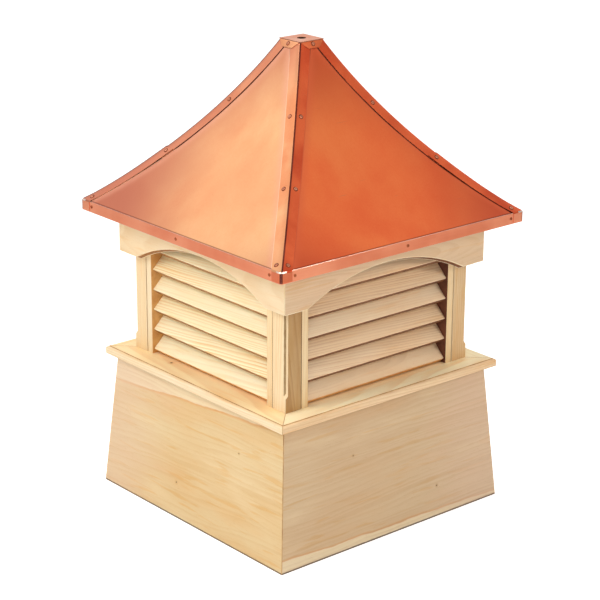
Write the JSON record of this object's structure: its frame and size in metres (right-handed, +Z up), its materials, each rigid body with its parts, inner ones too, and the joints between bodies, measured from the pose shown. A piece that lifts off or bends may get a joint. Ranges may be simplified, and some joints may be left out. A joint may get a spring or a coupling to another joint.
{
  "type": "louvred roof cupola",
  "caption": "Square cupola: tapered board skirt, louvred sides under arched valances, and a concave hipped copper roof with a bored crown for a finial.",
  "frame": {"origin": "middle of the foot, on the level surface it stands on", "axes": "+Z up through the crown; -Y out of the front; +X out of the right side"},
  "size_m": [0.7124, 0.7124, 1.083],
  "materials": {
    "skirt_pine": "planed, unpainted",
    "trim_pine": "planed, unpainted",
    "louvre_pine": "planed, unpainted",
    "framing_pine": "sawn, unpainted",
    "roof_copper": "satin, new copper sheet",
    "eave_copper": "satin, new copper sheet"
  },
  "bodies": {
    "root": {"skirt_front": "skirt_pine", "skirt_right": "skirt_pine", "skirt_back": "skirt_pine", "skirt_left": "skirt_pine", "sill_front": "trim_pine", "sill_right": "trim_pine", "sill_back": "trim_pine", "sill_left": "trim_pine", "post_front_left": "trim_pine", "post_front_right": "trim_pine", "post_back_right": "trim_pine", "post_back_left": "trim_pine", "louvre_stiles": "trim_pine", "louvres_front": "louvre_pine", "louvres_right": "louvre_pine", "louvres_back": "louvre_pine", "louvres_left": "louvre_pine", "arch_liner_front": "trim_pine", "arch_liner_right": "trim_pine", "arch_liner_back": "trim_pine", "arch_liner_left": "trim_pine", "valance_front": "trim_pine", "valance_right": "trim_pine", "valance_back": "trim_pine", "valance_left": "trim_pine", "soffit_front": "framing_pine", "soffit_right": "framing_pine", "soffit_back": "framing_pine", "soffit_left": "framing_pine", "hip_rafters": "framing_pine", "finial_block": "framing_pine", "eave_trim_front": "eave_copper", "eave_trim_right": "eave_copper", "eave_trim_back": "eave_copper", "eave_trim_left": "eave_copper", "roof_panel_front": "roof_copper", "roof_panel_right": "roof_copper", "roof_panel_back": "roof_copper", "roof_panel_left": "roof_copper", "hip_cap_front_left": "roof_copper", "hip_cap_front_right": "roof_copper", "hip_cap_back_right": "roof_copper", "hip_cap_back_left": "roof_copper", "crown_cap": "roof_copper"}
  },
  "joints": []
}
